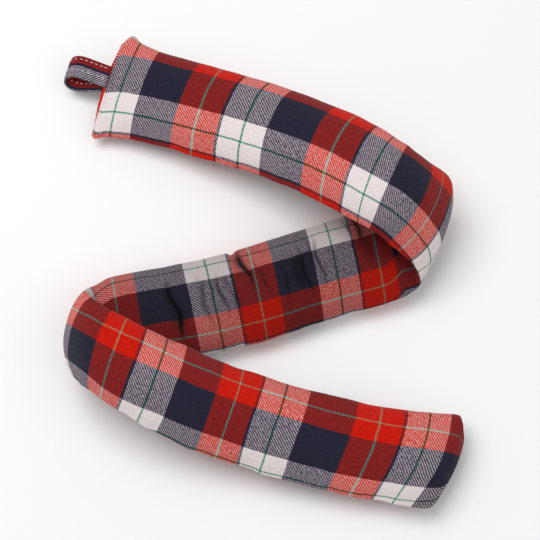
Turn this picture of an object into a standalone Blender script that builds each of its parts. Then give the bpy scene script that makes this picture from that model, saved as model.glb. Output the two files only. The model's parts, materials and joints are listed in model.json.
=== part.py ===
"""A draught excluder: one long filled cloth tube that lies in a loose double fold,
with a narrow hanging loop of the same cloth sewn into one end.

The tube lies as a flattened coil. Its middle run rests on the surface with the inner
face up. At the right and at the left it bends up and over, so that the two outer runs
lie on top of the middle one and come down to the surface at their free ends.
"""
import math

import bmesh
import bpy
import numpy as np
from mathutils import Vector

# Driving dimensions, in metres
CM = 0.01
LENGTH = 0.900              # along the outer face, from end seam to end seam
FLOOR_PRESS = 0.0006        # how far the weight presses the round underside flat
RING_STEP = 0.0115          # between two rings of the tube
TANGENT_STEP = 0.05         # centimetres to each side, over which the tangent is read
END_RINGS = (0.0, 0.25, 0.6)    # extra rings at each end, in centimetres from the end seam
SIDES = 36                  # points in one ring
EDGE_FORM = 1.3             # 1 gives round edges, and more gives pinched ones

# Long seam along the lower edge, and the seams that close the ends
SEAM_HEIGHT = 0.0016
SEAM_SHARPNESS = 40
LOOP_END_BOW = 0.0045       # how far the end seam's middle stands out past its corners
FAR_END_BOW = 0.0035
BOW_REACH = 2.5             # centimetres over which the bow fades into the tube

# Hanging loop
STRIP_WIDTH = 0.0165
STRIP_THICKNESS = 0.0018
STRIP_EDGE = 0.0004         # the strip's rounded edge
STRIP_RINGS = 36
JOIN_GAP = 0.0003           # between the strip's ends and the end seam

# Finish
ROUGHNESS = 0.95
TUBE_COLOUR = (0.42, 0.06, 0.06)
STRIP_COLOUR = (0.33, 0.05, 0.06)
SHARP_ANGLE = 50            # degrees, past which an edge is shaded sharp

# The tube's centre line and the turn of its sections. Distances in centimetres, angles
# in degrees: "heading" is where the upper edge points on the plan, "lift" is how far
# that edge is raised.
RUN_COLUMNS = ("along", "x", "y", "z", "heading", "lift")
RUN_TABLE = (
    (0.0, -11.8, 13.7, 1.75, 73, 9),
    (6.0, -6.1, 11.95, 2.1, 71, 6),
    (12.0, 0.0, 9.3, 3.5, 69, 3),
    (17.0, 4.7, 6.4, 5.3, 67, 0),
    (21.0, 7.55, 4.15, 6.25, 66, 0),
    (24.0, 8.85, 3.3, 6.05, 65, 0),
    (27.0, 10.2, 2.7, 5.0, 63, 0),
    (30.0, 11.15, 2.1, 3.4, 72, 0),
    (33.0, 9.8, 1.5, 1.95, 95, 0),
    (36.0, 7.4, 0.6, 1.65, 101, 2),
    (42.0, 2.2, -1.1, 1.65, 101, 3),
    (48.0, -3.0, -2.8, 1.65, 103, 3),
    (52.0, -6.9, -3.7, 1.70, 102, 3),
    (55.0, -9.9, -4.4, 1.85, 100, 5),
    (58.0, -11.9, -5.0, 2.25, 93, 12),
    (60.7, -12.8, -5.6, 3.45, 81, 16),
    (63.0, -12.0, -6.6, 4.64, 76, 12),
    (65.0, -10.9, -7.5, 5.05, 73, 8),
    (68.0, -8.4, -8.85, 4.7, 71, 4),
    (72.0, -4.9, -10.35, 3.6, 71, 2),
    (78.0, 0.7, -12.0, 2.3, 70, 0),
    (84.0, 6.9, -13.45, 1.9, 70, 0),
    (90.0, 12.5, -14.1, 1.8, 68, 0),
)

# How full and how wide the tube is along its length, in centimetres. It is drawn in
# where it folds over.
FILL_COLUMNS = ("along", "half_thickness", "half_width")
FILL_TABLE = (
    (0.0, 0.32, 3.98),
    (0.8, 0.95, 3.80),
    (2.0, 1.45, 3.50),
    (4.0, 1.68, 3.38),
    (12.0, 1.70, 3.35),
    (20.0, 1.70, 3.35),
    (25.0, 1.54, 3.22),
    (28.0, 1.27, 3.30),
    (31.0, 1.08, 3.42),
    (34.0, 1.38, 3.42),
    (38.0, 1.63, 3.36),
    (46.0, 1.65, 3.32),
    (53.0, 1.55, 3.34),
    (56.0, 1.35, 3.25),
    (58.0, 1.14, 2.95),
    (61.0, 1.00, 2.75),
    (64.0, 1.15, 2.78),
    (68.0, 1.50, 2.98),
    (72.0, 1.66, 3.06),
    (80.0, 1.66, 3.12),
    (86.0, 1.66, 3.22),
    (88.4, 1.42, 3.34),
    (89.4, 0.95, 3.24),
    (90.0, 0.45, 2.60),
)

# Troughs pressed into the inner face where the cloth is slack. Centimetres: "from" and
# "to" are places across the face, upward from its middle, and "slant" is how far the
# trough's upper end is shifted along.
TROUGH_COLUMNS = ("along", "from", "to", "slant", "half_width", "depth")
TROUGH_TABLE = (
    (37.0, -1.0, 2.8, 0.3, 0.55, 0.34),
    (38.6, 0.2, 3.0, 0.2, 0.50, 0.26),
    (42.3, -1.6, 2.0, 0.5, 0.60, 0.22),
    (46.8, -0.6, 3.2, 0.6, 0.55, 0.36),
    (49.6, -2.2, 1.6, 0.2, 0.60, 0.22),
    (51.8, -2.6, 2.2, 0.6, 0.70, 0.34),
)

# The loop's centre line, seen from the tube's end, in centimetres: "out" from the end
# seam, "side" toward the upper edge, "up" away from the surface.
LOOP_COLUMNS = ("out", "side", "up")
LOOP_TABLE = (
    (0.00, 0.55, 0.12),
    (0.90, 0.70, 0.20),
    (1.80, 0.88, 0.38),
    (2.50, 0.92, 0.42),
    (2.95, 0.75, 0.18),
    (3.08, 0.50, -0.18),
    (2.90, 0.28, -0.50),
    (2.30, 0.15, -0.62),
    (1.50, 0.15, -0.48),
    (0.80, 0.20, -0.25),
    (0.00, 0.30, -0.12),
)


def spline(knots, values, places):
    """A natural cubic through the values at the knots, read at the places."""
    knots = np.asarray(knots, float)
    values = np.asarray(values, float).reshape(len(knots), -1)
    steps = np.diff(knots)
    count = len(knots)
    matrix = np.eye(count)
    right = np.zeros_like(values)
    for i in range(1, count - 1):
        matrix[i, i - 1:i + 2] = steps[i - 1], 2 * (steps[i - 1] + steps[i]), steps[i]
        slopes = np.diff(values[i - 1:i + 2], axis=0) / steps[i - 1:i + 1, None]
        right[i] = 6 * (slopes[1] - slopes[0])
    bends = np.linalg.solve(matrix, right)
    span = np.clip(np.searchsorted(knots, places) - 1, 0, count - 2)
    step = steps[span][:, None]
    left = (np.asarray(places, float) - knots[span])[:, None]
    far = step - left
    cubic = (bends[span] * far ** 3 + bends[span + 1] * left ** 3) / (6 * step)
    start = (values[span] / step - bends[span] * step / 6) * far
    end = (values[span + 1] / step - bends[span + 1] * step / 6) * left
    return cubic + start + end


def unit(vectors):
    """The vectors, each at length one."""
    return vectors / np.linalg.norm(vectors, axis=-1, keepdims=True)


def columns(names, table, wanted):
    """The wanted columns of a table, by name."""
    return np.array(table)[:, [names.index(name) for name in wanted]]


def tube_frames(along):
    """Centre, tangent, width direction and outward direction of the outer face."""
    knots = columns(RUN_COLUMNS, RUN_TABLE, ["along"])[:, 0]
    path = columns(RUN_COLUMNS, RUN_TABLE, ["x", "y", "z"])
    centre = spline(knots, path, along)
    tangent = unit(spline(knots, path, along + TANGENT_STEP) - spline(knots, path, along - TANGENT_STEP))
    turn = np.radians(spline(knots, columns(RUN_COLUMNS, RUN_TABLE, ["heading", "lift"]), along))
    heading, lift = turn[:, 0], turn[:, 1]
    across = np.stack([np.cos(heading) * np.cos(lift), np.sin(heading) * np.cos(lift), np.sin(lift)], 1)
    return centre * CM, tangent, across, unit(np.cross(tangent, across))


def trough_depth(along, height):
    """How deep the inner face is pressed in at each place, in metres."""
    depth = np.zeros(np.broadcast(along, height).shape)
    for row in TROUGH_TABLE:
        trough = dict(zip(TROUGH_COLUMNS, row))
        middle = (trough["from"] + trough["to"]) / 2
        reach = (trough["to"] - trough["from"]) / 2
        offset = along - trough["along"] - trough["slant"] * (height - middle) / reach
        fade = np.clip(1 - ((height - middle) / reach) ** 2, 0, 1)
        depth += trough["depth"] * np.exp(-(offset / trough["half_width"]) ** 2) * fade
    return depth * CM


def ring_places():
    """Where the tube's rings lie, in centimetres along the outer face."""
    length = LENGTH / CM
    even = np.linspace(0, length, round(LENGTH / RING_STEP) + 1)[1:-1]
    ends = np.array(END_RINGS)
    return np.concatenate([ends, even, length - ends[::-1]])


def end_bow(along):
    """How far the two edges lag behind the middle of the nearest end seam, in metres."""
    start = np.clip(1 - along / BOW_REACH, 0, 1) ** 2
    finish = np.clip(1 - (LENGTH / CM - along) / BOW_REACH, 0, 1) ** 2
    return LOOP_END_BOW * start - FAR_END_BOW * finish


def tube_rings():
    """The points of the tube's skin, ring by ring."""
    along = ring_places()
    centre, tangent, across, outward = tube_frames(along)
    knots = columns(FILL_COLUMNS, FILL_TABLE, ["along"])[:, 0]
    girth = spline(knots, columns(FILL_COLUMNS, FILL_TABLE, ["half_thickness", "half_width"]), along) * CM
    thick, wide = girth[:, :1], girth[:, 1:]
    angles = np.arange(SIDES)[None, :] * 2 * math.pi / SIDES
    lower_edge = np.clip(-np.cos(angles), 0, 1) ** SEAM_SHARPNESS
    side = np.cos(angles) * wide - SEAM_HEIGHT * lower_edge
    inner = np.sqrt(np.clip(-np.sin(angles), 0, 1))
    rise = np.sign(np.sin(angles)) * np.abs(np.sin(angles)) ** EDGE_FORM * thick
    rise = rise + trough_depth(along[:, None], side / CM) * inner
    slide = end_bow(along)[:, None] * np.cos(angles) ** 2
    return (centre[:, None, :] + tangent[:, None, :] * slide[:, :, None]
            + across[:, None, :] * side[:, :, None] + outward[:, None, :] * rise[:, :, None])


def strip_rings():
    """The points of the hanging loop's strip, section by section."""
    table = columns(LOOP_COLUMNS, LOOP_TABLE, ["out", "side", "up"])
    hops = np.linalg.norm(np.diff(table, axis=0), axis=1)
    knots = np.concatenate([[0.0], np.cumsum(hops)])
    places = np.linspace(0, knots[-1], STRIP_RINGS)
    path = spline(knots, table, places) * CM
    centre, tangent, across, outward = tube_frames(np.array([0.0]))
    out, side, up = path[:, :1] + JOIN_GAP, path[:, 1:2], path[:, 2:3]
    line = centre - tangent * out + across * side + outward * up
    ahead = unit(np.gradient(line, axis=0))
    ahead[0] = -tangent[0]
    ahead[-1] = tangent[0]
    face = unit(np.cross(ahead, across))
    half_width, half_thick = STRIP_WIDTH / 2, STRIP_THICKNESS / 2
    corner = ((half_width - STRIP_EDGE, half_thick), (half_width, half_thick - STRIP_EDGE))
    quarter = corner + tuple((wide, -thick) for wide, thick in reversed(corner))
    section = quarter + tuple((-wide, thick) for wide, thick in reversed(quarter))
    return np.stack([line + across * wide + face * thick for wide, thick in section], 1)


def press_on_floor(points):
    """Lower the points a little, and press flat what would go through the floor."""
    lifted = points.copy()
    lifted[..., 2] -= FLOOR_PRESS
    lifted[..., 2] = np.maximum(lifted[..., 2], 0.0)
    return lifted


def skin_mesh(name, points):
    """A closed mesh from rings of points, with a flat cap at each end."""
    rings, sides = points.shape[:2]
    mesh = bmesh.new()
    verts = [[mesh.verts.new(Vector(p)) for p in ring] for ring in points]
    for a, b in zip(verts, verts[1:]):
        for i in range(sides):
            j = (i + 1) % sides
            mesh.faces.new((a[i], b[i], b[j], a[j]))
    mesh.faces.new(verts[0])
    mesh.faces.new(list(reversed(verts[-1])))
    bmesh.ops.recalc_face_normals(mesh, faces=mesh.faces)
    data = bpy.data.meshes.new(name)
    mesh.to_mesh(data)
    mesh.free()
    return data


def cloth_material(name, colour):
    """A plain cloth finish."""
    material = bpy.data.materials.new(name)
    material.use_nodes = True
    shader = material.node_tree.nodes["Principled BSDF"]
    shader.inputs["Base Color"].default_value = (*colour, 1.0)
    shader.inputs["Roughness"].default_value = ROUGHNESS
    shader.inputs["Metallic"].default_value = 0.0
    return material


def add_object(name, data, material):
    """Put a finished mesh into the scene."""
    thing = bpy.data.objects.new(name, data)
    bpy.context.collection.objects.link(thing)
    data.materials.append(material)
    data.shade_smooth()
    data.set_sharp_from_angle(angle=math.radians(SHARP_ANGLE))
    return thing


def build():
    """Model the part, with the origin under the middle of its box."""
    for thing in list(bpy.data.objects):
        bpy.data.objects.remove(thing, do_unlink=True)
    tube = press_on_floor(tube_rings())
    strip = strip_rings()
    everything = np.concatenate([tube.reshape(-1, 3), strip.reshape(-1, 3)])
    low, high = everything.min(axis=0), everything.max(axis=0)
    middle = np.array([(low[0] + high[0]) / 2, (low[1] + high[1]) / 2, low[2]])
    plaid = cloth_material("brushed_plaid", TUBE_COLOUR)
    tape = cloth_material("loop_plaid", STRIP_COLOUR)
    add_object("draught_tube", skin_mesh("draught_tube", tube - middle), plaid)
    add_object("hanging_loop", skin_mesh("hanging_loop", strip - middle), tape)


build()
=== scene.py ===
"""The looks of a draught excluder: a long filled cloth tube in a brushed tartan twill,
folded back on itself in a loose zigzag, with a hanging loop of the same cloth."""
from __future__ import annotations

import json
import logging
import math
from dataclasses import dataclass
from enum import Enum
from typing import Sequence

import bpy
import numpy as np
from mathutils import Matrix, Vector

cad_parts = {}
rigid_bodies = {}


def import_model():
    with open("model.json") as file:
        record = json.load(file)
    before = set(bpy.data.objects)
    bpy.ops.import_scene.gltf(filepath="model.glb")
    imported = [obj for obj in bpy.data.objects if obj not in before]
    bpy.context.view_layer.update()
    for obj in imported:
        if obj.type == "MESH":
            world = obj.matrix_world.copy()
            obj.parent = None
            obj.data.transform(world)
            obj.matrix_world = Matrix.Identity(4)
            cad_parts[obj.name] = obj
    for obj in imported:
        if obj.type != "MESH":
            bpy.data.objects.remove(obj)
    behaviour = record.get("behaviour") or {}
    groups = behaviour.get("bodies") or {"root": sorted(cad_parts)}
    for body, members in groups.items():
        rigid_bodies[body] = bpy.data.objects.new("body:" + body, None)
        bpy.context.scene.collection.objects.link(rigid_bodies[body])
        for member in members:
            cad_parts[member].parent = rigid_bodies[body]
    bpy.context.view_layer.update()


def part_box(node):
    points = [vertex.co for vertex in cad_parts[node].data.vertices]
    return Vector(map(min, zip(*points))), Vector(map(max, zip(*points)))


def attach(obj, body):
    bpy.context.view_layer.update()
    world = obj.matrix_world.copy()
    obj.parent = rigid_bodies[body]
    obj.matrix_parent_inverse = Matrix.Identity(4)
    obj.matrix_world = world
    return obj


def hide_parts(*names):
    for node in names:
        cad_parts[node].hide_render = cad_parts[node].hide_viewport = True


log = logging.getLogger("draught_excluder")

CM = 0.01
LENGTH = 90.0               # centimetres along the outer face, from end seam to end seam
TANGENT_STEP = 0.05         # centimetres to each side, where the tube's direction is read
THINNEST = 0.1              # centimetres, the least half thickness of a section
STRIP_SLOPE = 3.0           # how much steeper the twill is on the loop's folded strip
NOTHING = 1e-6              # metres, under which two points are one

Colour = tuple[float, float, float, float]

# The tube's centre line and the turn of its sections: centimetres and degrees, with
# "heading" the way the upper edge points on the plan and "lift" how far it is raised.
RUN_COLUMNS = ("along", "x", "y", "z", "heading", "lift")
RUN_TABLE = (
    (0.0, -11.8, 13.7, 1.75, 73, 9),
    (6.0, -6.1, 11.95, 2.1, 71, 6),
    (12.0, 0.0, 9.3, 3.5, 69, 3),
    (17.0, 4.7, 6.4, 5.3, 67, 0),
    (21.0, 7.55, 4.15, 6.25, 66, 0),
    (24.0, 8.85, 3.3, 6.05, 65, 0),
    (27.0, 10.2, 2.7, 5.0, 63, 0),
    (30.0, 11.15, 2.1, 3.4, 72, 0),
    (33.0, 9.8, 1.5, 1.95, 95, 0),
    (36.0, 7.4, 0.6, 1.65, 101, 2),
    (42.0, 2.2, -1.1, 1.65, 101, 3),
    (48.0, -3.0, -2.8, 1.65, 103, 3),
    (52.0, -6.9, -3.7, 1.70, 102, 3),
    (55.0, -9.9, -4.4, 1.85, 100, 5),
    (58.0, -11.9, -5.0, 2.25, 93, 12),
    (60.7, -12.8, -5.6, 3.45, 81, 16),
    (63.0, -12.0, -6.6, 4.64, 76, 12),
    (65.0, -10.9, -7.5, 5.05, 73, 8),
    (68.0, -8.4, -8.85, 4.7, 71, 4),
    (72.0, -4.9, -10.35, 3.6, 71, 2),
    (78.0, 0.7, -12.0, 2.3, 70, 0),
    (84.0, 6.9, -13.45, 1.9, 70, 0),
    (90.0, 12.5, -14.1, 1.8, 68, 0),
)

# How full and how wide the tube is along its length, in centimetres
FILL_COLUMNS = ("along", "half_thickness", "half_width")
FILL_TABLE = (
    (0.0, 0.12, 3.72),
    (0.15, 0.30, 3.90),
    (0.4, 0.62, 3.99),
    (1.0, 1.06, 3.76),
    (2.0, 1.45, 3.50),
    (4.0, 1.68, 3.38),
    (12.0, 1.70, 3.35),
    (20.0, 1.70, 3.35),
    (25.0, 1.54, 3.22),
    (28.0, 1.27, 3.30),
    (31.0, 1.08, 3.42),
    (34.0, 1.38, 3.42),
    (38.0, 1.63, 3.36),
    (46.0, 1.65, 3.32),
    (53.0, 1.55, 3.34),
    (56.0, 1.35, 3.25),
    (58.0, 1.14, 2.95),
    (61.0, 1.00, 2.68),
    (64.0, 1.15, 2.62),
    (68.0, 1.50, 2.86),
    (72.0, 1.66, 3.01),
    (80.0, 1.66, 3.12),
    (86.0, 1.66, 3.22),
    (88.4, 1.42, 3.34),
    (89.2, 1.06, 3.32),
    (89.7, 0.66, 3.06),
    (90.0, 0.15, 2.55),
)

# Which row of the check lies on the upper edge, and how far the columns have crept, in
# centimetres: the cloth is rolled a little more on the lower run than on the upper one.
CREEP_COLUMNS = ("along", "row", "column", "top", "foot", "slack")
CREEP_TABLE = (
    (0.0, -0.20, 0.0, 0.0, 0.0, 0.0),
    (10.0, -0.15, 0.0, 0.0, 0.0, 0.0),
    (20.0, -0.10, 0.0, 0.0, 0.0, 0.0),
    (23.0, -0.10, 0.0, 0.0, 0.0, 0.0),
    (26.0, -0.20, -0.4, 0.0, 0.0, 0.0),
    (29.0, -0.50, -0.4, 0.0, 0.0, 0.0),
    (31.5, -1.10, 0.0, 0.0, 0.0, 0.0),
    (34.3, -1.70, -0.4, 0.0, 0.0, 0.0),
    (35.6, -1.20, 0.0, 0.0, 0.0, 0.0),
    (50.0, -1.50, 0.0, 0.0, 0.0, 0.0),
    (56.0, -1.80, -0.5, 0.0, 0.0, 0.0),
    (58.5, -1.75, -1.9, 0.0, 0.0, 0.0),
    (61.0, -1.70, -2.2, 0.0, 0.0, 0.0),
    (64.0, -1.60, -1.6, 0.0, 0.0, 0.0),
    (67.0, -1.65, -1.0, 0.0, 0.0, 0.0),
    (71.0, -1.75, -0.5, 0.0, -0.2, 0.0),
    (76.0, -1.80, 0.0, 0.0, -0.4, 0.0),
    (84.0, -2.00, -0.2, 0.35, 0.45, 0.30),
    (88.0, -2.05, -0.2, 0.38, 0.95, 0.60),
    (90.0, -1.95, -0.2, 0.38, 0.95, 0.60),
)

# Troughs pressed into a face where the cloth is slack. Centimetres: "from" and "to" are
# places across the face, upward from its middle, and "slant" shifts the upper end along.
TROUGH_COLUMNS = ("along", "from", "to", "slant", "half_width", "depth")
INNER_TROUGHS = (
    (34.6, -2.0, 3.2, 0.4, 0.16, 0.20),
    (36.8, -1.4, 3.0, 0.3, 0.60, 0.16),
    (37.2, 0.8, 3.4, 0.2, 0.14, 0.24),
    (37.9, 1.4, 3.4, 0.1, 0.14, 0.18),
    (40.6, -1.8, 2.6, 0.2, 0.15, 0.24),
    (41.2, 0.0, 2.8, 0.2, 0.13, 0.16),
    (41.8, -2.2, 2.4, 0.3, 0.15, 0.26),
    (42.4, -1.6, 2.0, 0.5, 0.50, 0.20),
    (43.4, -2.4, 1.8, 0.2, 0.13, 0.16),
    (44.9, -1.2, 1.6, 0.2, 0.14, 0.16),
    (45.5, 0.2, 2.6, 0.3, 0.13, 0.14),
    (46.2, -0.6, 3.6, 0.4, 0.16, 0.24),
    (46.5, 0.6, 3.8, 0.5, 0.45, 0.24),
    (47.6, -2.0, 1.8, 0.2, 0.13, 0.16),
    (48.3, -1.8, 1.9, 0.2, 0.15, 0.22),
    (49.6, -2.4, 2.2, 0.2, 0.14, 0.20),
    (51.6, -2.6, 2.0, 0.3, 0.14, 0.34),
    (51.7, -2.6, 2.4, 0.4, 0.45, 0.16),
)


class Blend(Enum):
    """The ways in which two colours are mixed."""

    MIX = "MIX"
    DARKEN = "DARKEN"
    LIGHTEN = "LIGHTEN"


def columns(names: Sequence[str], table: Sequence[Sequence[float]],
            wanted: Sequence[str]) -> np.ndarray:
    """The wanted columns of a table whose columns all have names."""
    return np.array(table)[:, [names.index(name) for name in wanted]]


def spline(knots: Sequence[float], values: np.ndarray, places: np.ndarray) -> np.ndarray:
    """A natural cubic through the values at the knots.

    Args:
        knots: where the values are given.
        values: one row for each knot.
        places: where the curve is read.

    Returns:
        One row for each place.
    """
    knots = np.asarray(knots, float)
    values = np.asarray(values, float).reshape(len(knots), -1)
    steps = np.diff(knots)
    count = len(knots)
    matrix = np.eye(count)
    right = np.zeros_like(values)
    for i in range(1, count - 1):
        matrix[i, i - 1:i + 2] = steps[i - 1], 2 * (steps[i - 1] + steps[i]), steps[i]
        slopes = np.diff(values[i - 1:i + 2], axis=0) / steps[i - 1:i + 1, None]
        right[i] = 6 * (slopes[1] - slopes[0])
    bends = np.linalg.solve(matrix, right)
    span = np.clip(np.searchsorted(knots, places) - 1, 0, count - 2)
    step = steps[span][:, None]
    left = (np.asarray(places, float) - knots[span])[:, None]
    far = step - left
    cubic = (bends[span] * far ** 3 + bends[span + 1] * left ** 3) / (6 * step)
    start = (values[span] / step - bends[span] * step / 6) * far
    end = (values[span + 1] / step - bends[span + 1] * step / 6) * left
    return cubic + start + end


def unit(vectors: np.ndarray) -> np.ndarray:
    """The vectors, each at length one."""
    return vectors / np.linalg.norm(vectors, axis=-1, keepdims=True)


def tube_frames(along: np.ndarray) -> tuple[np.ndarray, np.ndarray, np.ndarray, np.ndarray]:
    """The tube's sections.

    Args:
        along: places in centimetres along the outer face.

    Returns:
        Centre in metres, tangent, width direction and outward direction of the outer face.
    """
    knots = columns(RUN_COLUMNS, RUN_TABLE, ["along"])[:, 0]
    route = columns(RUN_COLUMNS, RUN_TABLE, ["x", "y", "z"])
    turns = columns(RUN_COLUMNS, RUN_TABLE, ["heading", "lift"])
    centre = spline(knots, route, along)
    ahead = spline(knots, route, along + TANGENT_STEP)
    tangent = unit(ahead - spline(knots, route, along - TANGENT_STEP))
    heading, lift = np.radians(spline(knots, turns, along)).T
    level = np.cos(lift)
    across = np.stack([np.cos(heading) * level, np.sin(heading) * level, np.sin(lift)], axis=1)
    return centre * CM, tangent, across, unit(np.cross(tangent, across))


@dataclass(frozen=True)
class Ripple:
    """An uneven wave in the cloth. Its length and height are centimetres."""

    length: float                   # of the slowest wave
    height: float
    seed: int
    waves: int                      # how many are added up

    PACES = (0.75, 1.3)             # how far each wave's pace may stray
    FADE = 0.5                      # how much lower the further waves are
    PILE = 2.0                      # about what they add up to

    def read(self, places: np.ndarray) -> np.ndarray:
        """The wave's height.

        Args:
            places: where it is read, in centimetres.

        Returns:
            Heights in centimetres, mostly within the wave's own height.
        """
        rng = np.random.default_rng(self.seed)
        phase = places / self.length
        total = np.zeros_like(phase)
        for k in range(self.waves):
            pace = (1 + k) * rng.uniform(*self.PACES)
            wave = np.sin(2 * math.pi * (phase * pace + rng.uniform()))
            total += wave / (1 + self.FADE * k)
        return total / self.PILE * self.height


def travelled(line: np.ndarray) -> np.ndarray:
    """How far along a line of points in metres each one lies, in centimetres."""
    hops = np.linalg.norm(np.diff(line, axis=0), axis=1)
    return np.concatenate([[0.0], np.cumsum(hops)]) / CM


@dataclass(frozen=True)
class Yarn:
    """A dyed yarn, as the eye sees it on a screen: red, green and blue from 0 to 255."""

    red: float
    green: float
    blue: float

    def even(self) -> Colour:
        """The colour on the eye's own even scale, as four numbers from 0 to 1."""
        return (self.red / 255, self.green / 255, self.blue / 255, 1.0)


class Signal:
    """A socket in a node tree that can be used in Python expressions."""

    def __init__(self, tree: bpy.types.NodeTree, socket: bpy.types.NodeSocket) -> None:
        """Wrap a socket."""
        self.tree = tree
        self.socket = socket

    def math(self, operation: str, *others: object) -> "Signal":
        """A Math node on this value and the others.

        Args:
            operation: the node's operation.
            others: signals or numbers for its other sockets.

        Returns:
            The result.
        """
        node = self.tree.nodes.new("ShaderNodeMath")
        node.operation = operation
        for place, value in enumerate((self, *others)):
            if isinstance(value, Signal):
                self.tree.links.new(value.socket, node.inputs[place])
            else:
                node.inputs[place].default_value = float(value)
        return Signal(self.tree, node.outputs[0])

    def _swapped(self, operation: str, other: float) -> "Signal":
        """A Math node with a plain number in front of this value.

        Args:
            operation: the node's operation.
            other: the number.

        Returns:
            The result.
        """
        node = self.tree.nodes.new("ShaderNodeMath")
        node.operation = operation
        node.inputs[0].default_value = float(other)
        self.tree.links.new(self.socket, node.inputs[1])
        return Signal(self.tree, node.outputs[0])

    def __add__(self, other: object) -> "Signal":
        """Sum."""
        return self.math("ADD", other)

    __radd__ = __add__

    def __sub__(self, other: object) -> "Signal":
        """Difference."""
        return self.math("SUBTRACT", other)

    def __rsub__(self, other: float) -> "Signal":
        """Number minus signal."""
        return self._swapped("SUBTRACT", other)

    def __mul__(self, other: object) -> "Signal":
        """Product."""
        return self.math("MULTIPLY", other)

    __rmul__ = __mul__

    def __truediv__(self, other: object) -> "Signal":
        """Quotient."""
        return self.math("DIVIDE", other)

    def __mod__(self, other: object) -> "Signal":
        """Remainder that never goes below zero."""
        return self.math("FLOORED_MODULO", other)

    def __gt__(self, other: object) -> "Signal":
        """One where this is more than the other."""
        return self.math("GREATER_THAN", other)

    def __lt__(self, other: object) -> "Signal":
        """One where this is less than the other."""
        return self.math("LESS_THAN", other)

    def sine(self) -> "Signal":
        """Sine."""
        return self.math("SINE")

    def clipped(self) -> "Signal":
        """Hold the value between zero and one.

        Returns:
            The result.
        """
        result = self.math("ADD", 0.0)
        result.socket.node.use_clamp = True
        return result

    def between(self, low: float, high: float) -> "Signal":
        """One where this value is inside the range, and zero outside."""
        return (self > low) * (self < high)


class Shader:
    """A material's node tree, with its Principled shader."""

    SPECULAR = 0.15                 # cloth, thread and paper hardly shine
    SCREEN_GAMMA = 2.2

    def __init__(self, name: str, roughness: float) -> None:
        """Start a material.

        Args:
            name: the material's name.
            roughness: one number for the whole surface.
        """
        self.material = bpy.data.materials.new(name)
        self.material.use_nodes = True
        self.tree = self.material.node_tree
        self.surface = self.tree.nodes["Principled BSDF"]
        self.surface.inputs["Roughness"].default_value = roughness
        self.surface.inputs["Specular IOR Level"].default_value = self.SPECULAR

    def nap(self, weight: float, roughness: float) -> None:
        """Give the whole surface the soft sheen of brushed cloth."""
        self.surface.inputs["Sheen Weight"].default_value = weight
        self.surface.inputs["Sheen Roughness"].default_value = roughness

    def node(self, kind: str, settings: dict[str, object] | None = None,
             sockets: dict[str | int, object] | None = None) -> bpy.types.Node:
        """Add any node.

        Args:
            kind: the node's type.
            settings: its settings, set first.
            sockets: values or links of its inputs.

        Returns:
            The node.
        """
        made = self.tree.nodes.new(kind)
        for name, value in (settings or {}).items():
            setattr(made, name, value)
        for name, value in (sockets or {}).items():
            if isinstance(value, Signal):
                self.tree.links.new(value.socket, made.inputs[name])
            else:
                made.inputs[name].default_value = value
        return made

    def out(self, made: bpy.types.Node, name: str | int = 0) -> Signal:
        """One of a node's outputs."""
        return Signal(self.tree, made.outputs[name])

    def mix(self, share: object, first: object, second: object, blend: Blend = Blend.MIX) -> Signal:
        """Blend two colours.

        Args:
            share: how much of the second, from 0 to 1.
            first: a colour or a signal.
            second: a colour or a signal.
            blend: the way they are mixed.

        Returns:
            The mixed colour.
        """
        made = self.node("ShaderNodeMix", {"data_type": "RGBA", "blend_type": blend.value},
                         {0: share, 6: first, 7: second})
        return self.out(made, 2)

    def noise(self, where: Signal, scale: float, detail: float) -> Signal:
        """Soft noise.

        Args:
            where: the place it is read at.
            scale: how many times it changes over one unit.
            detail: how much finer noise is added.

        Returns:
            A value between 0 and 1.
        """
        sockets = {"Vector": where, "Scale": scale, "Detail": detail}
        made = self.node("ShaderNodeTexNoise", {}, sockets)
        return self.out(made, 0)

    def uv(self, name: str) -> Signal:
        """A piece's own map of the cloth."""
        return self.out(self.node("ShaderNodeUVMap", {"uv_map": name}))

    def attribute(self, name: str) -> Signal:
        """A number that the mesh carries at each of its points."""
        return self.out(self.node("ShaderNodeAttribute", {"attribute_name": name}), "Fac")

    def parts(self, vector: Signal) -> tuple[Signal, Signal]:
        """The first two numbers of a vector."""
        made = self.node("ShaderNodeSeparateXYZ", {}, {0: vector})
        return self.out(made, 0), self.out(made, 1)

    def colour(self, value: Signal) -> None:
        """Feed the base colour with one that was mixed on the eye's even scale."""
        made = self.node("ShaderNodeGamma", {}, {"Color": value, "Gamma": self.SCREEN_GAMMA})
        self.tree.links.new(made.outputs[0], self.surface.inputs["Base Color"])

    def relief(self, height: Signal, depth: float) -> None:
        """Feed the surface relief.

        Args:
            height: the height, from 0 to 1.
            depth: how deep a full step is, in metres.
        """
        sockets = {"Height": height, "Strength": 1.0, "Distance": depth}
        made = self.node("ShaderNodeBump", {}, sockets)
        self.tree.links.new(made.outputs[0], self.surface.inputs["Normal"])


@dataclass(frozen=True)
class Grain:
    """Noise on the cloth, whose strength may grow where the nap is brushed up."""

    scale: float
    detail: float
    middle: float                   # the level that counts as nothing
    strength: float = 1.0
    brushed: float = 0.0            # how much is added to the strength there

    def read(self, shader: Shader, cloth: Signal) -> Signal:
        """The noise, from its middle and not yet at its strength."""
        return shader.noise(cloth, self.scale, self.detail) - self.middle

    def amount(self, napped: Signal) -> Signal:
        """How strong the noise is where the nap is brushed up that far, from 0 to 1."""
        return napped * self.brushed + self.strength


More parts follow.
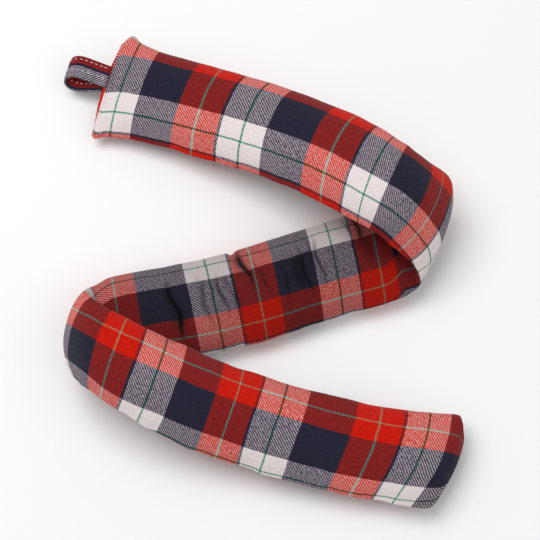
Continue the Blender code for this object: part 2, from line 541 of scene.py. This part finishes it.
@dataclass(frozen=True)
class Tartan:
    """The check: a brushed 2/2 twill of red, navy and white bands with thin lines.

    The map's numbers are centimetres. Along the tube one repeat is navy, red, a thin navy
    line and white, and across it the same four run the other way."""

    red: Yarn = Yarn(212, 27, 4)
    navy: Yarn = Yarn(40, 39, 56)
    white: Yarn = Yarn(240, 228, 227)
    green: Yarn = Yarn(22, 122, 84)
    mint: Yarn = Yarn(128, 168, 138)
    repeat: float = 9.5
    squeeze: float = 0.86           # rows are lower than columns are wide
    band: float = 3.1
    line: float = 0.2
    line_width: float = 0.145
    first_navy: float = 3.0
    edge_row: float = 4.65
    twill: float = 0.21             # from one twill line to the next, along the tube
    sunk: float = 0.27              # how much the darker of two yarns wins, deep in the nap
    raised: float = 0.35            # how much the lighter one wins where neither is white
    quiet: float = 0.46             # how clear the twill is where neither yarn is white
    slope: float = 1.0              # of the twill lines on the cloth map
    # Painted shade: the under panel, which lies under the upper and lower runs, is darkened toward
    # this tone.
    inner_shade_row: float = -1.0         # where the under panel begins, and with it the painted shade
    inner_shade_amount: float = 0.20       # how much painted shade darkens that panel, which lies under the other runs
    inner_shade_tone: Colour = (0.03, 0.03, 0.03, 1.0)
    # Painted shade in the creases that are pressed into the inner face.
    crease_shade_amount: float = 0.9
    crease_shade_tone: Colour = (0.01, 0.01, 0.02, 1.0)
    blush: float = 0.05             # the tint of a white yarn beside a dark one
    blush_tone: Colour = (0.72, 0.42, 0.62, 1.0)
    waver: Grain = Grain(0.9, 2.0, middle=0.5, strength=0.10)
    nap: Grain = Grain(0.22, 1.0, middle=0.45 / 2.2, strength=2.2)
    breaks: Grain = Grain(7.0, 3.0, middle=0.5, strength=1.9, brushed=3.4)
    tufts: Grain = Grain(6.0, 3.0, middle=0.5, strength=0.5, brushed=1.4)
    shade: Grain = Grain(5.0, 4.0, middle=0.42, strength=0.55)
    shade_loss: float = 0.2         # how much less of it shows on a white yarn
    shade_tone: Colour = (0.02, 0.02, 0.03, 1.0)
    lint: Grain = Grain(22.0, 1.0, middle=0.5, strength=0.36)
    lint_tone: Colour = (0.93, 0.88, 0.88, 1.0)
    rib_strength: float = 0.80
    rib_loss: float = 0.45          # how much flatter a twill line is where it is brushed
    rib_relief: float = 0.3
    fuzz_scale: float = 12.0
    fuzz_detail: float = 3.0
    relief: float = 0.0004          # in metres
    sheen: tuple[float, float] = (0.09, 0.4)    # weight and roughness
    roughness: float = 0.95

    def yarns(self, shader: Shader, place: Signal) -> Signal:
        """The yarn colour at a place in the repeat.

        Args:
            shader: the material being made.
            place: centimetres from the start of a navy band.

        Returns:
            The colour.
        """
        place = place % self.repeat
        tone = shader.mix(place > self.band, self.navy.even(), self.red.even())
        second = 2 * self.band
        tone = shader.mix(place > second, tone, self.navy.even())
        tone = shader.mix(place > second + self.line, tone, self.white.even())
        half = self.line_width / 2
        lines = ((1.5 * self.band, self.mint), (self.repeat - 0.5 * self.band, self.green))
        for middle, yarn in lines:
            tone = shader.mix(place.between(middle - half, middle + half), tone, yarn.even())
        return tone

    def whiteness(self, place: Signal) -> Signal:
        """One in a white band, and zero in the others."""
        return (place % self.repeat) > (2 * self.band + self.line)

    def make(self, name: str) -> bpy.types.Material:
        """Build the material.

        Args:
            name: the material's name.

        Returns:
            The material.
        """
        shader = Shader(name, self.roughness)
        cloth = shader.uv("cloth")
        along, row = shader.parts(cloth)
        waver = self.waver.read(shader, cloth) * self.waver.strength
        along, row = along + waver, row + waver
        column_place = along - self.first_navy
        row_place = self.edge_row - row / self.squeeze
        white = self.whiteness(column_place) + self.whiteness(row_place)
        napped = (self.nap.read(shader, cloth) * self.nap.strength).clipped()
        turn = (along - row * self.slope) * (2 * math.pi / self.twill)
        ribs = (turn + self.breaks.read(shader, cloth) * self.breaks.amount(napped)).sine()
        tufts = self.tufts.read(shader, cloth) * self.tufts.amount(napped)
        swing = ribs * (self.rib_strength - napped * self.rib_loss) + tufts
        tone = self.woven(shader, column_place, row_place, white, swing)
        tone = self.worn(shader, tone, cloth, row, white)
        shader.nap(*self.sheen)
        shader.colour(tone)
        fuzz = shader.noise(cloth, self.fuzz_scale, self.fuzz_detail)
        shader.relief(ribs * self.rib_relief + fuzz, self.relief)
        return shader.material

    def woven(self, shader: Shader, column_place: Signal, row_place: Signal, white: Signal,
              swing: Signal) -> Signal:
        """Cross the two sets of yarns.

        Args:
            shader: the material being made.
            column_place: the place in the repeat along the tube.
            row_place: the place in the repeat across it.
            white: how many of the two yarns are white.
            swing: from which of them the eye sees more.

        Returns:
            The colour.
        """
        warp, weft = self.yarns(shader, column_place), self.yarns(shader, row_place)
        darker = shader.mix(1.0, warp, weft, Blend.DARKEN)
        lighter = shader.mix(1.0, warp, weft, Blend.LIGHTEN)
        lively = (white + self.quiet).clipped()
        tone = shader.mix((0.5 + swing * lively).clipped(), warp, weft)
        tone = shader.mix(lively * self.sunk, tone, darker)
        return shader.mix((1 - lively) * self.raised, tone, lighter)

    def worn(self, shader: Shader, tone: Signal, cloth: Signal, row: Signal,
             white: Signal) -> Signal:
        """Lay the nap's uneven shades, painted shade on the under panel and in the creases, and the
        lint, over the weave.

        Args:
            shader: the material being made.
            tone: the weave's colour.
            cloth: the place on the cloth.
            row: the row of the check, in centimetres.
            white: how many of the two yarns are white.

        Returns:
            The colour.
        """
        shade = self.shade.read(shader, cloth).clipped()
        shade = shade * (self.shade.strength - white * self.shade_loss)
        tone = shader.mix(shade, tone, self.shade_tone)
        # Painted shade: the under panel, which lies under the other runs, is darkened.
        inner_shade = (self.inner_shade_row - row).clipped() * self.inner_shade_amount
        tone = shader.mix(inner_shade, tone, self.inner_shade_tone)
        # Painted shade darkens the creases.
        tone = shader.mix(shader.attribute("crease_shade") * self.crease_shade_amount, tone, self.crease_shade_tone)
        tone = shader.mix((white % 2.0) * self.blush, tone, self.blush_tone)
        lint = self.lint.read(shader, cloth).clipped() * self.lint.strength
        return shader.mix(lint, tone, self.lint_tone)


@dataclass(frozen=True)
class Plain:
    """One even colour, for thread, floor and the like."""

    colour: tuple[float, float, float]
    roughness: float = 0.9

    def make(self, name: str) -> bpy.types.Material:
        """Build the material.

        Args:
            name: the material's name.

        Returns:
            The material.
        """
        shader = Shader(name, self.roughness)
        shader.surface.inputs["Base Color"].default_value = (*self.colour, 1.0)
        return shader.material


def deselect_all() -> None:
    """Leave nothing selected."""
    for thing in bpy.context.view_layer.objects:
        thing.select_set(False)


def loft(name: str, points: np.ndarray, cloth: np.ndarray, closed: bool,
         crease_shade: np.ndarray | None = None) -> bpy.types.Object:
    """A surface through rows of points, with a map of the cloth on it.

    The start is a flat grid with its own map, whose rows are then laid along the piece.

    Args:
        name: the piece's name.
        points: rows, points and three coordinates, in metres.
        cloth: rows, points and the two numbers of the cloth map.
        closed: whether each row's last point meets its first, and the ends are shut.
        crease_shade: how deep in a crease each point lies, from 0 to 1, kept for the painted shade
            in the creases.

    Returns:
        The piece.
    """
    rows, count = points.shape[:2]
    deselect_all()
    bpy.ops.mesh.primitive_grid_add(x_subdivisions=rows - 1, y_subdivisions=count - 1, size=2)
    piece = bpy.context.active_object
    piece.name = name
    mesh = piece.data
    mesh.name = name
    flat = np.empty(len(mesh.vertices) * 3)
    mesh.vertices.foreach_get("co", flat)
    flat = flat.reshape(-1, 3)
    row = np.rint((flat[:, 0] + 1) / 2 * (rows - 1)).astype(int)
    col = np.rint((flat[:, 1] + 1) / 2 * (count - 1)).astype(int)
    mesh.vertices.foreach_set("co", points[row, col].ravel())
    corner = np.empty(len(mesh.loops), int)
    mesh.loops.foreach_get("vertex_index", corner)
    layer = mesh.uv_layers[0]
    layer.name = "cloth"
    layer.data.foreach_set("uv", cloth[row[corner], col[corner]].ravel())
    depth = mesh.attributes.new("crease_shade", "FLOAT", "POINT")
    depths = np.zeros(points.shape[:2]) if crease_shade is None else np.clip(crease_shade, 0, 1)
    depth.data.foreach_set("value", depths[row, col])
    mesh.update()
    if closed:
        bpy.ops.object.mode_set(mode="EDIT")
        bpy.ops.mesh.select_all(action="SELECT")
        bpy.ops.mesh.remove_doubles(threshold=NOTHING)
        bpy.ops.mesh.select_all(action="DESELECT")
        bpy.ops.mesh.select_mode(type="EDGE")
        bpy.ops.mesh.select_non_manifold()
        bpy.ops.mesh.fill_holes(sides=0)
        bpy.ops.mesh.select_all(action="SELECT")
        bpy.ops.mesh.normals_make_consistent(inside=False)
        bpy.ops.object.mode_set(mode="OBJECT")
    bpy.ops.object.shade_smooth()
    return piece


@dataclass
class Cover:
    """The filled tube: cover, filling, long seam and end seams. Sizes in centimetres."""

    ring_step: float = 0.13
    fine_step: float = 0.065        # where the cloth is creased
    fine_from: float = 34.0
    fine_to: float = 53.5
    end_step: float = 0.05          # from an end seam to the first ring
    sides: int = 96
    outer_arc: float = 7.3          # cloth from edge to edge over the outer face
    inner_arc: float = 8.4          # and over the inner face
    tightness: float = 0.10         # how much less shows after the left bend
    tight_along: float = 66.5
    tight_reach: float = 3.2
    gather: float = 2.2             # how much more lies in the gathered lower edge
    first_row: float = -1.25        # the outer face shows no row before this one
    first_pace: float = 0.35        # how slowly its rows go on from there
    gather_from: float = -0.46      # where on the outer face the gathering starts
    edge_form: float = 1.3          # 1 gives round edges, and more gives pinched ones
    seam_height: float = 0.16
    seam_sharpness: float = 70.0
    loop_end_bow: float = 0.08
    far_end_bow: float = 0.35
    bow_reach: float = 2.5
    ear_round: float = 0.5          # how much the upper corner of the loop end is rounded
    ear_reach: float = 0.42
    ear_swell: float = 0.16         # how far the ear beside that corner stands out
    ear_along: float = 0.8
    ear_length: float = 0.5
    far_round: float = 1.1          # and of the far end
    far_reach: float = 0.55
    lip: float = 0.30               # how far the back panel stands out past the end seam
    lip_least: float = 0.05         # the share of that at the corners
    lip_place: tuple[float, float] = (7.0, -0.7)    # a red field of the check
    notch_along: float = 46.9       # where the upper edge is pinched
    notch_depth: float = 0.22
    notch_width: float = 0.28
    seam_ripple: Ripple = Ripple(length=7.0, height=0.045, seed=3, waves=7)
    fold_ripple: Ripple = Ripple(length=9.0, height=0.03, seed=8, waves=6)
    lumps: Ripple = Ripple(length=11.0, height=0.05, seed=5, waves=4)
    lump_slant: float = 3.85
    gathers: Ripple = Ripple(length=0.625, height=0.10, seed=12, waves=5)   # across the face
    gather_length: float = 1.6      # how far from an end seam they reach
    hem: float = 0.4
    edge_reach: float = 4.0         # how narrow the two edges are that ripple
    press: float = 0.06             # how far the tube's own weight sinks it into the floor
    full_swell: float = 1.0         # the half thickness from which the cloth puckers fully
    wander: float = 0.12            # how far a crease strays to its sides
    wander_pace: float = 2.2
    wander_start: float = 1.7
    full_crease_shade: float = 0.38         # the depth at which a crease gets its full painted shade
    crease_shade_power: float = 1.5
    corner_reach: float = 6.0       # how narrow the rounding of a corner is
    lip_edge: float = 0.72          # where, from middle to corner, the lip ends
    lip_shift: float = 0.06

    def places(self) -> np.ndarray:
        """Where the rings lie.

        Returns:
            Places in centimetres along the outer face.
        """
        start = np.arange(self.ring_step, self.fine_from, self.ring_step)
        creased = np.arange(self.fine_from, self.fine_to, self.fine_step)
        finish = np.arange(self.fine_to, LENGTH - self.ring_step / 2, self.ring_step)
        ends = np.array([0.0, self.end_step])
        return np.concatenate([ends, start, creased, finish, LENGTH - ends[::-1]])

    def bow(self, along: np.ndarray) -> np.ndarray:
        """How far the two edges lag behind the middle of the nearest end seam.

        Args:
            along: places along the tube.

        Returns:
            Shifts along the tube, in centimetres.
        """
        start = np.clip(1 - along / self.bow_reach, 0, 1) ** 2
        finish = np.clip(1 - (LENGTH - along) / self.bow_reach, 0, 1) ** 2
        return self.loop_end_bow * start - self.far_end_bow * finish

    def troughs(self, along: np.ndarray, height: np.ndarray) -> np.ndarray:
        """How deep the inner face is pressed in.

        Args:
            along: places along the tube.
            height: places across the face, upward from its middle.

        Returns:
            Depths in centimetres.
        """
        depth = np.zeros(np.broadcast(along, height).shape)
        for row in INNER_TROUGHS:
            trough = dict(zip(TROUGH_COLUMNS, row))
            middle, reach = (trough["from"] + trough["to"]) / 2, (trough["to"] - trough["from"]) / 2
            across = (height - middle) / reach
            stray = np.sin(self.wander_pace * height + self.wander_start * trough["along"])
            offset = along - trough["along"] - trough["slant"] * across - self.wander * stray
            fade = np.clip(1 - across ** 2, 0, 1)
            depth += trough["depth"] * np.exp(-(offset / trough["half_width"]) ** 2) * fade
        return depth

    def puckers(self, along: np.ndarray, angles: np.ndarray) -> np.ndarray:
        """Small uneven rises and dips that the seams and the filling leave in the cloth.

        Args:
            along: places along the tube.
            angles: places around the section.

        Returns:
            Heights in centimetres.
        """
        bottom = np.clip(-np.cos(angles), 0, 1) ** self.edge_reach
        top = np.clip(np.cos(angles), 0, 1) ** self.edge_reach
        from_end = np.minimum(along, LENGTH - along)
        near_end = np.exp(-(from_end / self.gather_length) ** 2)
        near_end = near_end * np.clip(from_end / self.hem, 0, 1)
        notch = np.exp(-((along - self.notch_along) / self.notch_width) ** 2)
        return (self.seam_ripple.read(along) * bottom
                + self.fold_ripple.read(along) * top
                + self.lumps.read(along + self.lump_slant * np.cos(angles))
                + self.gathers.read(np.cos(angles)) * near_end
                - self.notch_depth * top * notch)

    def rings(self, along: np.ndarray) -> tuple[np.ndarray, np.ndarray, np.ndarray]:
        """The skin's points and their place on the cloth.

        Args:
            along: places of the rings.

        Returns:
            Points in metres, the cloth map in centimetres, and how deep each point is
            pressed in.
        """
        centre, tangent, across, outward = tube_frames(along)
        knots = columns(FILL_COLUMNS, FILL_TABLE, ["along"])[:, 0]
        girths = columns(FILL_COLUMNS, FILL_TABLE, ["half_thickness", "half_width"])
        thick, wide = spline(knots, girths, along).T[:, :, None]
        thick = np.maximum(thick, THINNEST)
        turns = np.linspace(0, 1, self.sides + 1)[None, :]
        angles = 2 * math.pi * turns - math.pi
        long = along[:, None]
        lower_edge = np.clip(-np.cos(angles), 0, 1) ** self.seam_sharpness
        side = np.cos(angles) * wide - self.seam_height * lower_edge
        rise = np.sign(np.sin(angles)) * np.abs(np.sin(angles)) ** self.edge_form * thick
        place = self.cloth_map(along, side, rise)
        corner = (self.ear_round * np.exp(-(long / self.ear_reach) ** 2)
                  - self.ear_swell * np.exp(-((long - self.ear_along) / self.ear_length) ** 2)
                  + self.far_round * np.exp(-((LENGTH - long) / self.far_reach) ** 2))
        side = side - corner * np.clip(np.cos(angles), 0, 1) ** self.corner_reach
        inner = np.sqrt(np.clip(-np.sin(angles), 0, 1))
        pressed = self.troughs(long, side) * inner
        rise = rise + pressed
        swell = self.puckers(long, angles) * np.clip(thick / self.full_swell, 0, 1)
        side = side + swell * np.cos(angles)
        rise = rise + swell * np.sin(angles)
        slide = self.bow(along)[:, None] * np.cos(angles) ** 2
        points = (centre[:, None, :] + tangent[:, None, :] * slide[:, :, None] * CM
                  + across[:, None, :] * side[:, :, None] * CM
                  + outward[:, None, :] * rise[:, :, None] * CM)
        points[..., 2] = np.maximum(points[..., 2] - self.press * CM, 0.0)
        return points, place, pressed

    def with_lip(self, points: np.ndarray, place: np.ndarray,
                 pressed: np.ndarray) -> tuple[np.ndarray, np.ndarray, np.ndarray]:
        """Add the red lip of the back panel that shows outside the first end seam.

        Args:
            points: the skin's points.
            place: the cloth map.
            pressed: how deep each point is pressed in.

        Returns:
            The same three, with the lip's rings in front.
        """
        ahead = unit(points[0] - points[2]).mean(axis=0)
        height = np.cos(np.linspace(-math.pi, math.pi, self.sides + 1))[:, None]
        ears = np.clip(np.abs(height + self.lip_shift) / self.lip_edge, 0, 1) ** 3
        reach = self.lip * (1 + self.lip_least - ears)
        rim = points[0] + ahead * reach * CM
        red = np.broadcast_to(np.array(self.lip_place), place[:1].shape)
        points = np.concatenate([rim[None], points[:1], points])
        place = np.concatenate([red, red, place])
        return points, place, np.concatenate([pressed[:1], pressed[:1], pressed])

    def plan_middle(self) -> np.ndarray:
        """Where the frame's origin lies on the plan that the section table uses.

        Returns:
            Three coordinates in metres, with nothing for the height.
        """
        points = self.rings(self.places())[0].reshape(-1, 3)
        own = (points.min(axis=0) + points.max(axis=0)) / 2
        framed = np.mean(np.array(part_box("draught_tube")), axis=0)
        return (own - framed) * np.array([1.0, 1.0, 0.0])

    def cloth_map(self, along: np.ndarray, side: np.ndarray, rise: np.ndarray) -> np.ndarray:
        """Where each point of the skin lies on the cloth.

        Args:
            along: places of the rings.
            side: each point's place across the section.
            rise: each point's place through the section.

        Returns:
            Column and row, in centimetres.
        """
        hops = np.hypot(np.diff(side, axis=1), np.diff(rise, axis=1))
        arc = np.concatenate([np.zeros((len(along), 1)), np.cumsum(hops, axis=1)], axis=1)
        upper = arc[:, self.sides // 2:self.sides // 2 + 1]
        creep = columns(CREEP_COLUMNS, CREEP_TABLE, CREEP_COLUMNS).T
        values = [np.interp(along, creep[0], column)[:, None] for column in creep[1:]]
        edge_row, shift, top, foot, slack = values
        height = side / np.abs(side).max(axis=1, keepdims=True)
        down = arc - upper
        tight = 1 - self.tightness * np.exp(-((along - self.tight_along) / self.tight_reach) ** 2)
        outer = down / down[:, -1:] * self.outer_arc * tight[:, None]
        outer = outer + slack * self.gather * np.clip(self.gather_from - height, 0, None)
        inner = down / -down[:, :1] * self.inner_arc
        outer = np.maximum(edge_row + outer, self.first_row + self.first_pace * outer)
        row = np.where(down > 0, outer, edge_row + inner)
        column = along[:, None] + shift + np.where(height > 0, top, foot) * height ** 2
        return np.stack([column, row], axis=-1)

    def build(self, cloth: bpy.types.Material, middle: np.ndarray) -> bpy.types.Object:
        """Model the filled tube and dress it.

        Args:
            cloth: the tartan.
            middle: the frame's origin on the plan.

        Returns:
            The piece.
        """
        points, place, pressed = self.with_lip(*self.rings(self.places()))
        # The creases' depth goes onto the mesh, for the painted shade in the creases.
        piece = loft("cover", points - middle, place, closed=True,
                     crease_shade=(pressed / self.full_crease_shade) ** self.crease_shade_power)
        piece.data.materials.append(cloth)
        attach(piece, "root")
        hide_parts("draught_tube")
        return piece


# The loop's middle line from the end seam, in centimetres: away from the seam, toward the
# upper edge, and up from the face.
LOOP_COLUMNS = ("out", "side", "up")
LOOP_TABLE = (
    (0.00, 0.52, 0.12),
    (0.90, 0.60, 0.20),
    (1.80, 0.66, 0.38),
    (2.50, 0.64, 0.42),
    (2.95, 0.48, 0.18),
    (3.08, 0.26, -0.18),
    (2.90, 0.06, -0.50),
    (2.30, -0.04, -0.62),
    (1.50, 0.02, -0.48),
    (0.80, 0.12, -0.25),
    (0.00, 0.26, -0.12),
)


@dataclass
class HangingLoop:
    """The strip of cloth that is folded lengthways, stitched and sewn into the end seam."""

    width: float = 1.65
    thickness: float = 0.18
    rows: int = 120
    gap: float = 0.03
    columns: int = 8
    edge_softness: float = 0.45     # how much thinner the two edges are
    outer_column: float = 9.45      # of the check, along the middle of the outer face
    inner_column: float = 8.65
    first_row: float = 1.6
    row_pace: float = 0.32
    stitch_rows: tuple[float, float] = (0.58, -0.22)    # up from the strip's middle
    stitch_pitch: float = 0.38
    stitch_length: float = 0.22
    stitch_thickness: float = 0.055
    stitch_segments: int = 8
    stitch_rings: int = 6
    thread: Plain = Plain((0.80, 0.77, 0.76), 0.8)

    def line(self) -> tuple[np.ndarray, np.ndarray, np.ndarray]:
        """The strip's middle line.

        Returns:
            Points in metres, the width direction, and the face direction at each.
        """
        table = columns(LOOP_COLUMNS, LOOP_TABLE, LOOP_COLUMNS)
        knots = travelled(table * CM)
        path = spline(knots, table, np.linspace(0, knots[-1], self.rows)) * CM
        centre, tangent, across, outward = tube_frames(np.array([0.0]))
        out, side, up = path.T[:, :, None]
        line = centre - tangent * (out + self.gap * CM) + across * side + outward * up
        ahead = unit(np.gradient(line, axis=0))
        ahead[0] = -tangent[0]
        ahead[-1] = tangent[0]
        return line, across, unit(np.cross(ahead, across))

    def build(self, cloth: bpy.types.Material, middle: np.ndarray) -> bpy.types.Object:
        """Model the strip and dress it.

        Args:
            cloth: the tartan.
            middle: the frame's origin on the plan.

        Returns:
            The piece.
        """
        line, across, face = self.line()
        run = travelled(line)
        half, thick = self.width / 2, self.thickness / 2
        edge = np.linspace(-1, 1, self.columns)
        level = np.full(self.columns, thick)
        level[[0, -1]] *= 1 - self.edge_softness
        wide = np.concatenate([edge, edge[::-1], edge[:1]]) * half
        lift = np.concatenate([level, -level, level[:1]])
        points = (line[:, None, :] + across[None] * wide[None, :, None] * CM
                  + face[:, None, :] * lift[None, :, None] * CM) - middle
        column = np.where(lift < 0, self.outer_column, self.inner_column) - wide
        row = self.first_row + self.row_pace * run
        place = np.stack(np.broadcast_arrays(column[None, :], row[:, None]), axis=-1)
        piece = loft("loop", points, place, closed=True)
        piece.data.materials.append(cloth)
        thread = self.stitches(line - middle, across, face)
        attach(piece, "root")
        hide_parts("hanging_loop")
        return piece

    def stitches(self, line: np.ndarray, across: np.ndarray, face: np.ndarray) -> bpy.types.Object:
        """Sew two rows of white stitches into each face of the strip.

        Args:
            line: the strip's middle line.
            across: its width direction.
            face: its face direction at each point of the line.

        Returns:
            The thread, as one piece.
        """
        deselect_all()
        bpy.ops.mesh.primitive_uv_sphere_add(segments=self.stitch_segments,
                                             ring_count=self.stitch_rings, radius=CM / 2)
        pattern = bpy.context.active_object
        pattern.scale = (self.stitch_thickness, self.stitch_thickness, self.stitch_length)
        bpy.ops.object.transform_apply(location=False, rotation=False, scale=True)
        bpy.ops.object.shade_smooth()
        pattern.data.materials.append(self.thread.make("sewing_thread"))
        run = travelled(line)
        ahead = unit(np.gradient(line, axis=0))
        last = run[-1] - self.stitch_pitch / 2
        for reach in np.arange(self.stitch_pitch, last, self.stitch_pitch):
            k = int(np.argmin(np.abs(run - reach)))
            for height in self.stitch_rows:
                for side in (-1, 1):
                    spot = line[k] + (across[0] * height + face[k] * side * self.thickness / 2) * CM
                    turn = Matrix((across[0], face[k], ahead[k])).transposed()
                    stitch = pattern.copy()
                    stitch.data = pattern.data.copy()
                    stitch.matrix_world = Matrix.Translation(spot) @ turn.to_4x4()
                    bpy.context.collection.objects.link(stitch)
                    stitch.select_set(True)
        pattern.select_set(False)
        bpy.data.objects.remove(pattern)
        bpy.context.view_layer.objects.active = stitch
        bpy.ops.object.join()
        thread = bpy.context.active_object
        bpy.ops.object.transform_apply(location=True, rotation=True, scale=True)
        thread.name = thread.data.name = "loop_stitches"
        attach(thread, "root")
        return thread


@dataclass(frozen=True)
class Lamp:
    """A soft square lamp that looks at the part."""

    name: str
    place: tuple[float, float, float]   # in metres
    size: float                     # its side, in metres
    power: float                    # in watts

    def build(self) -> None:
        """Hang the lamp."""
        deselect_all()
        bpy.ops.object.light_add(type="AREA", location=self.place)
        lamp = bpy.context.active_object
        lamp.name = self.name
        lamp.data.size = self.size
        lamp.data.energy = self.power
        lamp.rotation_euler = (-Vector(self.place)).to_track_quat("-Z", "Y").to_euler()


@dataclass
class Studio:
    """Floor, light and camera."""

    height: float = 1.034           # of the camera, in metres
    behind: float = -0.376          # of the camera, on the section table's plan
    tilt: float = 20.0
    lens: float = 104.0
    sky: float = 0.46
    lamps: tuple[Lamp, ...] = (
        Lamp("key", (-0.45, 0.25, 1.4), size=1.0, power=12.5),
        Lamp("fill", (0.9, -0.4, 1.2), size=1.2, power=3.0),
    )
    floor_size: float = 6.0
    floor_drop: float = 0.0005      # how far the floor lies under the part
    paper: Plain = Plain((0.975, 0.975, 0.975), 0.9)

    def floor(self) -> None:
        """A wide pale floor."""
        deselect_all()
        bpy.ops.mesh.primitive_plane_add(size=self.floor_size, location=(0, 0, -self.floor_drop))
        ground = bpy.context.active_object
        ground.name = "floor"
        ground.data.materials.append(self.paper.make("floor_paper"))

    def camera(self, middle: np.ndarray) -> None:
        """The camera at the photograph's angle.

        Args:
            middle: the frame's origin on the plan.
        """
        deselect_all()
        place = (-middle[0], self.behind - middle[1], self.height)
        bpy.ops.object.camera_add(location=place, rotation=(math.radians(self.tilt), 0, 0))
        eye = bpy.context.active_object
        eye.data.lens = self.lens
        bpy.context.scene.camera = eye

    def build(self, middle: np.ndarray) -> None:
        """Set the stage.

        Args:
            middle: the frame's origin on the plan.
        """
        self.floor()
        bpy.context.scene.view_settings.view_transform = "Standard"
        world = bpy.data.worlds.new("studio")
        bpy.context.scene.world = world
        world.use_nodes = True
        sky = world.node_tree.nodes["Background"]
        sky.inputs["Color"].default_value = (1.0, 1.0, 1.0, 1.0)
        sky.inputs["Strength"].default_value = self.sky
        for lamp in self.lamps:
            lamp.build()
        self.camera(middle)


def main() -> None:
    """Build the pieces in order and report each."""
    logging.basicConfig(level=logging.INFO, format="%(message)s")
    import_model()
    cloth = Tartan().make("tartan_twill")
    strip = Tartan(slope=STRIP_SLOPE).make("strip_twill")
    cover = Cover()
    middle = cover.plan_middle()
    for piece in (cover.build(cloth, middle), HangingLoop().build(strip, middle)):
        log.info("%s: %d faces", piece.name, len(piece.data.polygons))
    Studio().build(middle)


if __name__ == "__main__":
    main()
